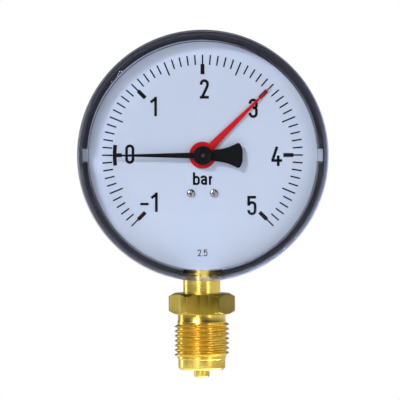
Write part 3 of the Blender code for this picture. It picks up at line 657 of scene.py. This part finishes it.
for count in range((LAST_VALUE - FIRST_VALUE) * STEPS_PER_BAR + 1):
    value = FIRST_VALUE + count / STEPS_PER_BAR
    half_step = count % STEPS_PER_BAR == STEPS_PER_BAR // 2
    whole_step = count % STEPS_PER_BAR == 0
    mark(value, SCALE_RADIUS, SCALE_RADIUS - (HALF_MARK if half_step else TENTH_MARK), MARK_WIDTH)
    if whole_step and value != 0:
        mark(value, SCALE_RADIUS - BLOCK_START, SCALE_RADIUS - BLOCK_END, BLOCK_WIDTH)
mark(0, ZERO_OUTER, ZERO_INNER, BLOCK_WIDTH)


def ribbon(start, heading, width, moves):
    """A printed stroke: an edge as wide as the pen, extruded straight or spun round bends."""
    deselect()
    bpy.ops.mesh.primitive_plane_add(size=MM)
    stroke = bpy.context.object
    bpy.ops.object.mode_set(mode="EDIT")
    bpy.ops.mesh.select_all(action="SELECT")
    bpy.ops.mesh.merge(type="CENTER")
    here = Vector((start[0] * MM, INK_BACK * MM, DIAL_Z + start[1] * MM))
    ahead = Vector((math.cos(math.radians(heading)), 0, math.sin(math.radians(heading))))
    aside = Vector((-ahead.z, 0, ahead.x))
    bpy.ops.transform.translate(value=here - aside * width / 2 * MM)
    bpy.ops.mesh.extrude_region_move(TRANSFORM_OT_translate={"value": aside * width * MM})
    bpy.ops.mesh.select_all(action="SELECT")
    for kind, *amounts in moves:
        if kind == "go":
            step = ahead * amounts[0] * MM
            bpy.ops.mesh.extrude_region_move(TRANSFORM_OT_translate={"value": step})
            here = here + step
        else:
            radius, turn = amounts
            left = 1 if turn > 0 else -1
            pivot = here + aside * left * radius * MM
            bpy.ops.mesh.spin(
                steps=max(3, round(abs(turn) / 12)),
                angle=math.radians(turn),
                center=pivot,
                axis=(0, 1, 0),
            )
            swing = Matrix.Rotation(math.radians(-turn), 3, "Y")
            here = pivot + swing @ (here - pivot)
            ahead, aside = swing @ ahead, swing @ aside
    bpy.ops.mesh.select_all(action="SELECT")
    bpy.ops.mesh.remove_doubles(threshold=0.002 * MM)
    bpy.ops.mesh.extrude_region_move(TRANSFORM_OT_translate={"value": (0, -INK * MM, 0)})
    bpy.ops.mesh.select_all(action="SELECT")
    bpy.ops.mesh.normals_make_consistent(inside=False)
    bpy.ops.object.mode_set(mode="OBJECT")
    ink_pieces.append(stroke)


ARC_RADIUS, ARC_PEN, ARC_HALF_ANGLE = 33.6, 1.45, 6.75
start_angle = math.radians(180 - ARC_HALF_ANGLE)
ribbon(
    (ARC_RADIUS * math.cos(start_angle), ARC_RADIUS * math.sin(start_angle)),
    270 - ARC_HALF_ANGLE,
    ARC_PEN,
    [("bend", ARC_RADIUS, 2 * ARC_HALF_ANGLE)],
)


def numeral(sign, x, z, height=7.44, width=3.5, pen=1.06):
    """A condensed numeral about (x, z), made of one to three strokes of the pen."""
    w, h = (width - pen) / 2, (height - pen) / 2
    r = w

    def stroke(dx, dz, heading, *moves):
        ribbon((x + dx, z + dz), heading, pen, moves)

    over = ("bend", r, -180)
    if sign == "0":
        side = h - r
        stroke(-w, 0, 90, ("go", side), over, ("go", 2 * side), over, ("go", side))
    elif sign == "1":
        stroke(0.55 * w, -h - pen / 2, 90, ("go", height))
        stroke(0.55 * w, h - 0.1 * pen, 218, ("go", 2.0 * w))
    elif sign == "2":
        lean = math.degrees(math.atan2(2 * h - r - 1.2 * w, 2 * w))
        curl = ("bend", 1.6 * r, -(90 - lean) * 0.75)
        start = h - r - 0.12 * h
        stroke(-w, start, 90, ("go", 0.12 * h), over, ("go", 0.10 * h), curl, ("go", 1.28 * h))
        stroke(-w - pen / 2, -h, 0, ("go", width))
    elif sign == "3":
        bend = 0.7 * r
        turn_in = ("bend", bend, -90)
        upper, lower = ("go", h - r - bend - 0.05 * h), ("go", h - r - bend + 0.05 * h)
        hook, bar = ("go", 0.08 * h), ("go", 0.5 * r)
        stroke(-w, h - r - 0.08 * h, 90, hook, over, upper, turn_in, bar)
        stroke(w - bend - 0.5 * r, 0.05 * h, 0, bar, turn_in, lower, over, hook)
    elif sign == "4":
        lean = math.degrees(math.atan2(-1.42 * h - pen / 2, -1.35 * w))
        stroke(0.25 * w, h + pen / 2, lean, ("go", math.hypot(1.42 * h + pen / 2, 1.35 * w)))
        stroke(-w - pen * 0.62, -0.50 * h, 0, ("go", 2 * w + 1.6 * pen))
        stroke(0.62 * w, 0.10 * h, 270, ("go", 1.10 * h + pen / 2))
    elif sign == "5":
        stroke(-w - pen / 2, h, 0, ("go", width * 0.95))
        stroke(-w, h + pen / 2, 270, ("go", 1.02 * h))
        stroke(-w, -0.02 * h, 90, over, ("go", 0.98 * h - r), over, ("go", 0.08 * h))


NUMERAL_PLACES = (
    ("0", -27.8, 0.4),
    ("1", -18.6, 18.6),
    ("2", 0.7, 25.3),
    ("3", 19.4, 17.9),
    ("4", 28.2, -0.5),
    ("5", 18.9, -19.3),
    ("1", -18.3, -18.0),
)
for sign, x, z in NUMERAL_PLACES:
    numeral(sign, x, z)
MINUS_PLACE, MINUS_PEN, MINUS_LENGTH = (-23.8, -18.7), 0.95, 3.2
ribbon(MINUS_PLACE, 0, MINUS_PEN, [("go", MINUS_LENGTH)])

LETTER_PEN = 0.86


def letter_stroke(x, z, heading, *moves):
    ribbon((x, z), heading, LETTER_PEN, moves)


B_LEFT, A_RIGHT, R_LEFT = -3.25, 1.35, 2.85
base, ascender, waist, bowl = -11.4, 4.85, 3.4, 0.92
round_bowl = ("bend", bowl, -180)
letter_stroke(B_LEFT, base, 90, ("go", ascender))
two_bowls = (("go", 1.2), round_bowl, ("go", 0.9), round_bowl, ("go", 0.2))
letter_stroke(B_LEFT, base + 0.95, 90, *two_bowls)
letter_stroke(A_RIGHT, base, 90, ("go", 2.3), ("bend", bowl, 165))
letter_stroke(A_RIGHT, base + 1.95, 180, ("go", 0.8), ("bend", 0.76, 180), ("go", 0.8))
letter_stroke(R_LEFT, base, 90, ("go", waist))
letter_stroke(R_LEFT, base + 2.1, 90, ("bend", 0.95, -80))

CLASS_Z, CLASS_HEIGHT, CLASS_WIDTH, CLASS_PEN = -37.4, 2.6, 1.35, 0.34
POINT_SIZE = 0.36
for sign, x in (("2", -1.2), ("5", 1.2)):
    numeral(sign, x, CLASS_Z, CLASS_HEIGHT, CLASS_WIDTH, CLASS_PEN)
ribbon((-POINT_SIZE / 2, -38.5), 0, POINT_SIZE, [("go", POINT_SIZE)])

deselect()
for piece in ink_pieces:
    piece.select_set(True)
bpy.context.view_layer.objects.active = ink_pieces[0]
bpy.ops.object.join()
dial_print = bpy.context.object
dial_print.name = dial_print.data.name = "dial_print"
bpy.ops.object.transform_apply(location=True, rotation=True, scale=True)
ink, tree, shader = new_material("print_ink", (0.005, 0.005, 0.007), 0.6)
shader.inputs["Specular IOR Level"].default_value = 0.1
spots = noise(tree, 2600.0, 3.0)
tree.links.new(
    blended(tree, ranged(tree, spots, 0, 1), (0.003, 0.003, 0.005), (0.009, 0.009, 0.012)),
    shader.inputs["Base Color"],
)
bump(tree, shader, spots, 0.08, 0.01 * MM)
finish_piece(dial_print, "housing", "dial_white", ink)

# ---- Screws -------------------------------------------------------------------------------
# Pan-head screws, nickel-plated, with a cross recess: two M2 hold the dial on its spacers in
# front of the movement's plate, and two larger ones come through the case's floor from behind.

steel, tree, shader = new_material("plated_steel", (0.52, 0.51, 0.47), 0.24, 1.0)
turning = noise(tree, 1400.0, 2.0)
bump(tree, shader, turning, 0.10, 0.01 * MM)
tree.links.new(ranged(tree, turning, 0.12, 0.26), shader.inputs["Roughness"])


def cross_screw(name, x, z, seat, head, height, shank, tip, recess, out=-1):
    """Pan head whose seat lies at seat, a cross recess in its crown and a plain shank."""
    crown = seat + out * height
    pan = ((0, 0), (0.45, 0.03), (0.75, 0.14), (0.93, 0.36), (1, 0.7))
    outline = [(across * head, crown - out * down * height) for across, down in pan]
    outline += [(head, seat), (shank, seat), (shank, tip), (0, tip)]
    points = [((x + r) * MM, y * MM, DIAL_Z + z * MM) for r, y in outline]
    screw = lathe(name, points, (0, 1, 0), (x * MM, 0, DIAL_Z + z * MM), 40)
    deep = crown - out * 0.62 * height
    low_y, high_y = sorted((deep, crown + out * 1.0))
    long, wide = recess, 0.24 * recess
    for half_x, half_z in ((long, wide), (wide, long)):
        low, high = (x - half_x, low_y, z - half_z), (x + half_x, high_y, z + half_z)
        cut_away(screw, block("tool", low, high))
    soften(screw, 0.04)
    finish_piece(screw, "housing", "steel_bright", steel)
    return screw


small = {"head": 1.6, "height": 0.9, "shank": 0.85, "tip": -3.0, "recess": 1.0}
large = {"head": 2.5, "height": 1.7, "shank": 1.25, "tip": 2.2, "recess": 1.6, "out": 1}
for number, (x, z) in enumerate(DIAL_SCREWS, 1):
    screw = cross_screw(f"dial_screw_head_{number}", x, z, face_y - 0.3, **small)
    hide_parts(f"dial_screw_{number}")
for number, height in enumerate(CASE_SCREWS, 1):
    screw = cross_screw(f"case_screw_head_{number}", 0, height / MM, 9.2, **large)
    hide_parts(f"case_screw_{number}")

# ---- Set pointer --------------------------------------------------------------------------
# Red lacquered aluminium blade, blanked in one piece with a round disc, gripped by the bush
# in the dial's centre; it is set by hand to the limit value, here 3.

POINTER_TIP = 36.4
SET_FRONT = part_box("set_pointer")[0].y / MM
SET_ANGLE = 45.0
SET_BACK = SET_FRONT + 0.4
SET_HOLE, SET_DISC = 3.1, 5.15
set_pointer = washer("set_pointer_blade", SET_HOLE, SET_DISC, SET_FRONT, SET_BACK, 96)


def tapered_blade(name, start, end, start_half, end_half, front, back):
    """A flat blade along +z from the dial's centre, narrowed towards its tip."""
    blade = block(name, (-start_half, front, start), (start_half, back, end))
    for corner in blade.data.vertices:
        if corner.co.z > DIAL_Z + (start + end) / 2 * MM:
            corner.co.x *= end_half / start_half
    return blade


def turn_clockwise(piece, degrees):
    turn = Matrix.Rotation(math.radians(degrees), 4, "Y")
    middle = Matrix.Translation((0, 0, DIAL_Z))
    piece.data.transform(middle @ turn @ middle.inverted())


arm = tapered_blade("arm", 4.4, POINTER_TIP, 1.5, 0.15, SET_FRONT, SET_BACK)
cut_away(set_pointer, arm, "UNION")
turn_clockwise(set_pointer, SET_ANGLE)
soften(set_pointer, 0.06)
red, tree, shader = new_material("red_lacquer", (0.42, 0.006, 0.012), 0.36)
shader.inputs["Specular IOR Level"].default_value = 0.12
flow = noise(tree, 500.0, 3.0)
bump(tree, shader, flow, 0.08, 0.01 * MM)
tree.links.new(
    blended(tree, ranged(tree, flow, 0, 1), (0.66, 0.008, 0.012), (0.55, 0.005, 0.009)),
    shader.inputs["Base Color"],
)
finish_piece(set_pointer, "mark", "set_pointer_red", red)
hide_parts("set_pointer")

# ---- Pointer ------------------------------------------------------------------------------
# Black lacquered aluminium blade with a counterweight tail that flares to a rounded end,
# riveted on a turned bush, which is pressed on the end of the bright pinion shaft.

POINTER_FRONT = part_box("pointer")[0].y / MM
POINTER_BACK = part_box("pointer")[1].y / MM
RIVET_HOLE, POINTER_EYE = 1.8, 3.0
pointer = washer("pointer_blade", RIVET_HOLE, POINTER_EYE, POINTER_FRONT, POINTER_BACK, 96)
arm = tapered_blade("arm", 2.6, POINTER_TIP, 1.15, 0.18, POINTER_FRONT, POINTER_BACK)
turn_clockwise(arm, -90)
cut_away(pointer, arm, "UNION")

TAIL_HALF_WIDTHS = ((2.4, 1.9), (5.2, 2.25), (7.6, 2.6), (9.6, 3.1), (11.6, 3.95), (13.5, 4.85))
TAIL_ROUNDING = ((0.75, 0.93), (0.65, 0.72), (0.35, 0.62))
tail_start, first_half = TAIL_HALF_WIDTHS[0]
deselect()
bpy.ops.mesh.primitive_plane_add(size=MM, location=(tail_start * MM, POINTER_BACK * MM, DIAL_Z))
tail = bpy.context.object
tail.name = "tail"
bpy.ops.object.transform_apply(location=True, rotation=True, scale=True)
bpy.ops.object.mode_set(mode="EDIT")
bpy.ops.mesh.select_all(action="SELECT")
bpy.ops.mesh.merge(type="CENTER")
bpy.ops.transform.translate(value=(0, 0, -first_half * MM))
bpy.ops.mesh.extrude_region_move(TRANSFORM_OT_translate={"value": (0, 0, 2 * first_half * MM)})
bpy.ops.mesh.select_all(action="SELECT")
for (x0, half0), (x1, half1) in zip(TAIL_HALF_WIDTHS, TAIL_HALF_WIDTHS[1:]):
    bpy.ops.mesh.extrude_region_move(TRANSFORM_OT_translate={"value": ((x1 - x0) * MM, 0, 0)})
    bpy.ops.transform.resize(value=(1, 1, half1 / half0))
for length, narrowing in TAIL_ROUNDING:
    bpy.ops.mesh.extrude_region_move(TRANSFORM_OT_translate={"value": (length * MM, 0, 0)})
    bpy.ops.transform.resize(value=(1, 1, narrowing))
bpy.ops.mesh.select_all(action="SELECT")
bpy.ops.mesh.extrude_region_move(
    TRANSFORM_OT_translate={"value": (0, (POINTER_FRONT - POINTER_BACK) * MM, 0)}
)
bpy.ops.mesh.select_all(action="SELECT")
bpy.ops.mesh.normals_make_consistent(inside=False)
bpy.ops.object.mode_set(mode="OBJECT")
cut_away(pointer, tail, "UNION")
soften(pointer, 0.06)

black_lacquer, tree, shader = new_material("black_lacquer", (0.004, 0.004, 0.005), 0.45)
shader.inputs["Specular IOR Level"].default_value = 0.08
orange_peel = noise(tree, 700.0, 3.0)
bump(tree, shader, orange_peel, 0.08, 0.01 * MM)
tree.links.new(ranged(tree, orange_peel, 0.38, 0.52), shader.inputs["Roughness"])
finish_piece(pointer, "pointer", "pointer_black", black_lacquer)
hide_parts("pointer")

HUB_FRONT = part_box("pointer_hub")[0].y / MM
HUB_BACK = -10.2
SHAFT_FIT = 0.72
hub_outline = [
    (SHAFT_FIT, HUB_BACK),
    (2.3, HUB_BACK),
    (2.3, POINTER_BACK + 0.3),
    (1.5, POINTER_BACK + 0.3),
    (1.5, POINTER_FRONT - 0.3),
    (3.7, POINTER_FRONT - 0.3),
    (3.7, HUB_FRONT + 0.35),
    (3.35, HUB_FRONT),
    (2.75, HUB_FRONT),
    (2.6, HUB_FRONT + 0.15),
    (2.35, HUB_FRONT + 0.15),
    (2.2, HUB_FRONT),
    (1.5, HUB_FRONT),
    (1.3, HUB_FRONT + 0.3),
    (SHAFT_FIT, HUB_FRONT + 0.3),
    (SHAFT_FIT, HUB_BACK),
]
hub = lathe("pointer_bush", about_dial(hub_outline), (0, 1, 0), (0, 0, DIAL_Z), 96)
soften(hub, 0.05)
blackened, tree, shader = new_material("blackened_brass", (0.006, 0.005, 0.006), 0.30)
shader.inputs["Specular IOR Level"].default_value = 0.125
rings = noise(tree, 800.0, 2.0)
bump(tree, shader, rings, 0.10, 0.01 * MM)
tree.links.new(ranged(tree, rings, 0.24, 0.36), shader.inputs["Roughness"])
finish_piece(hub, "pointer", "pointer_black", blackened)
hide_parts("pointer_hub")

# ---- Movement -----------------------------------------------------------------------------
# Behind the dial: stamped brass plates on pillars, toothed sector, pinion shaft, hairspring
# and link. These keep their own solids and take the real finishes.

stamped_brass = brass_look(
    "stamped_brass", (1200, 90, 1200), (0.80, 0.60, 0.22), (0.70, 0.50, 0.17), 0.28
)
bronze = brass_look("drawn_bronze", (300, 300, 300), (0.66, 0.40, 0.22), (0.55, 0.31, 0.16), 0.34)
FINISHES = {"movement_brass": stamped_brass, "tube_bronze": bronze, "steel_bright": steel}
for part in frame["record"]["subparts"]:
    own_finish = FINISHES.get(part["material_slot"])
    if own_finish:
        mesh = frame["nodes"][part["node"]].data
        mesh.materials.clear()
        mesh.materials.append(own_finish)

# ---- Bourdon tube -------------------------------------------------------------------------
# Flattened bronze tube bent to a C: its section is spun from the end piece to the block.

TUBE_BEND, TUBE_HALF_THICKNESS = 30.0, 1.7
TUBE_ROOT, TUBE_TIP = 254.5, -20.0
tube_low, tube_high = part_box("bourdon_tube")
flat_end = (tube_high.y - tube_low.y) / 2 / MM - TUBE_HALF_THICKNESS


def on_tube(turn, radius=TUBE_BEND, y=0.0):
    """A place on the C, turn degrees anticlockwise from 3 o'clock."""
    across, up = math.cos(math.radians(turn)), math.sin(math.radians(turn))
    return Vector((radius * across * MM, y * MM, DIAL_Z + radius * up * MM))


tube_section = [
    *quarter_round(TUBE_HALF_THICKNESS, TUBE_BEND, flat_end, 0, 180, 14),
    *quarter_round(TUBE_HALF_THICKNESS, TUBE_BEND, -flat_end, 180, 360, 14),
]
tube = edge_ring("bourdon_bend", [on_tube(TUBE_TIP, r, y) for r, y in tube_section])
bpy.ops.object.mode_set(mode="EDIT")
bpy.ops.mesh.select_all(action="SELECT")
bpy.ops.mesh.spin(
    steps=120,
    angle=math.radians(TUBE_ROOT - TUBE_TIP),
    center=(0, 0, DIAL_Z),
    axis=(0, 1, 0),
)
bpy.ops.mesh.select_all(action="SELECT")
bpy.ops.mesh.fill_holes(sides=0)
bpy.ops.mesh.select_all(action="SELECT")
bpy.ops.mesh.normals_make_consistent(inside=False)
bpy.ops.object.mode_set(mode="OBJECT")
bpy.ops.object.shade_smooth_by_angle(angle=math.radians(35))
tube.data.materials.append(bronze)
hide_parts("bourdon_tube")
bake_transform(tube)

# ---- Window -------------------------------------------------------------------------------
# Cap moulded in crystal-clear plastic: flat plate, rounded front edge and a skirt pressed over
# the case's wall. The thick edge bends the light, its outside carries a fine satin skin, and
# the plate lets the dial show through.

window_low, window_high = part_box("window")
GLASS_FRONT, SKIRT_END = window_low.y / MM, window_high.y / MM
OUTER = (window_high.x - window_low.x) / 2 / MM
PLATE = 2.0
EDGE = 4.4
INNER = 43.8
INNER_ROUND = 0.4
SKIRT_INNER = CASE_RADIUS + 0.3
SATIN_START = 45.9
window_outline = [
    (0, GLASS_FRONT),
    *quarter_round(EDGE, OUTER - EDGE, GLASS_FRONT + EDGE, -90, 0, 10),
    (OUTER, SKIRT_END),
    (SKIRT_INNER, SKIRT_END),
    (SKIRT_INNER, CASE_FRONT - 0.3),
    (INNER, CASE_FRONT - 0.3),
    *quarter_round(INNER_ROUND, INNER - INNER_ROUND, GLASS_FRONT + PLATE + INNER_ROUND, 0, -90, 4),
    (0, GLASS_FRONT + PLATE),
]
window = lathe("window_cap", about_dial(window_outline), (0, 1, 0), (0, 0, DIAL_Z), 192)
soften(window, 0.15)

clear = bpy.data.materials.new("clear_plate")
clear.use_nodes = True
tree = clear.node_tree
tree.nodes.remove(tree.nodes["Principled BSDF"])
through = node_at(tree, "ShaderNodeBsdfTransparent", Color=(0.97, 0.98, 1.0, 1.0))
gloss = node_at(tree, "ShaderNodeBsdfGlossy", Roughness=0.03, Color=(1.0, 1.0, 1.0, 1.0))
angle = node_at(tree, "ShaderNodeFresnel", IOR=1.22)
both = tree.nodes.new("ShaderNodeMixShader")
tree.links.new(angle.outputs["Fac"], both.inputs["Fac"])
tree.links.new(through.outputs["BSDF"], both.inputs[1])
tree.links.new(gloss.outputs["BSDF"], both.inputs[2])
tree.links.new(both.outputs["Shader"], tree.nodes["Material Output"].inputs["Surface"])


def lets_lamps_through(material, colour):
    """Shadow rays pass the glass tinted instead of being stopped by it."""
    tree = material.node_tree
    ray = node_at(tree, "ShaderNodeLightPath")
    open_way = node_at(tree, "ShaderNodeBsdfTransparent", Color=(*colour, 1.0))
    choice = tree.nodes.new("ShaderNodeMixShader")
    tree.links.new(ray.outputs["Is Shadow Ray"], choice.inputs["Fac"])
    tree.links.new(tree.nodes["Principled BSDF"].outputs["BSDF"], choice.inputs[1])
    tree.links.new(open_way.outputs["BSDF"], choice.inputs[2])
    tree.links.new(choice.outputs["Shader"], tree.nodes["Material Output"].inputs["Surface"])


edge_clear, tree, shader = new_material("clear_edge", (0.90, 0.92, 1.0), 0.02)
shader.inputs["Transmission Weight"].default_value = 1.0
shader.inputs["IOR"].default_value = 1.16
flow_lines = noise(tree, 60.0, 2.0)
tree.links.new(ranged(tree, flow_lines, 0.01, 0.05), shader.inputs["Roughness"])
lets_lamps_through(edge_clear, (0.88, 0.88, 0.97))

satin_edge, tree, shader = new_material("satin_edge", (0.72, 0.77, 0.98), 0.16)
shader.inputs["Transmission Weight"].default_value = 0.95
shader.inputs["IOR"].default_value = 1.30
mould_skin = noise(tree, 400.0, 2.0)
bump(tree, shader, mould_skin, 0.05, 0.01 * MM)
lets_lamps_through(satin_edge, (0.85, 0.87, 0.97))
finish_piece(window, "cover", "window_clear", clear, edge_clear, satin_edge)
for face in window.data.polygons:
    radius = math.hypot(face.center.x, face.center.z - DIAL_Z) / MM
    level = abs(face.normal.y) > 0.999
    outward = Vector((face.center.x, 0, face.center.z - DIAL_Z)).normalized().dot(face.normal)
    if level and radius < INNER - INNER_ROUND:
        face.material_index = 0
    else:
        face.material_index = 2 if radius > SATIN_START and outward > 0.3 else 1
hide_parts("window")
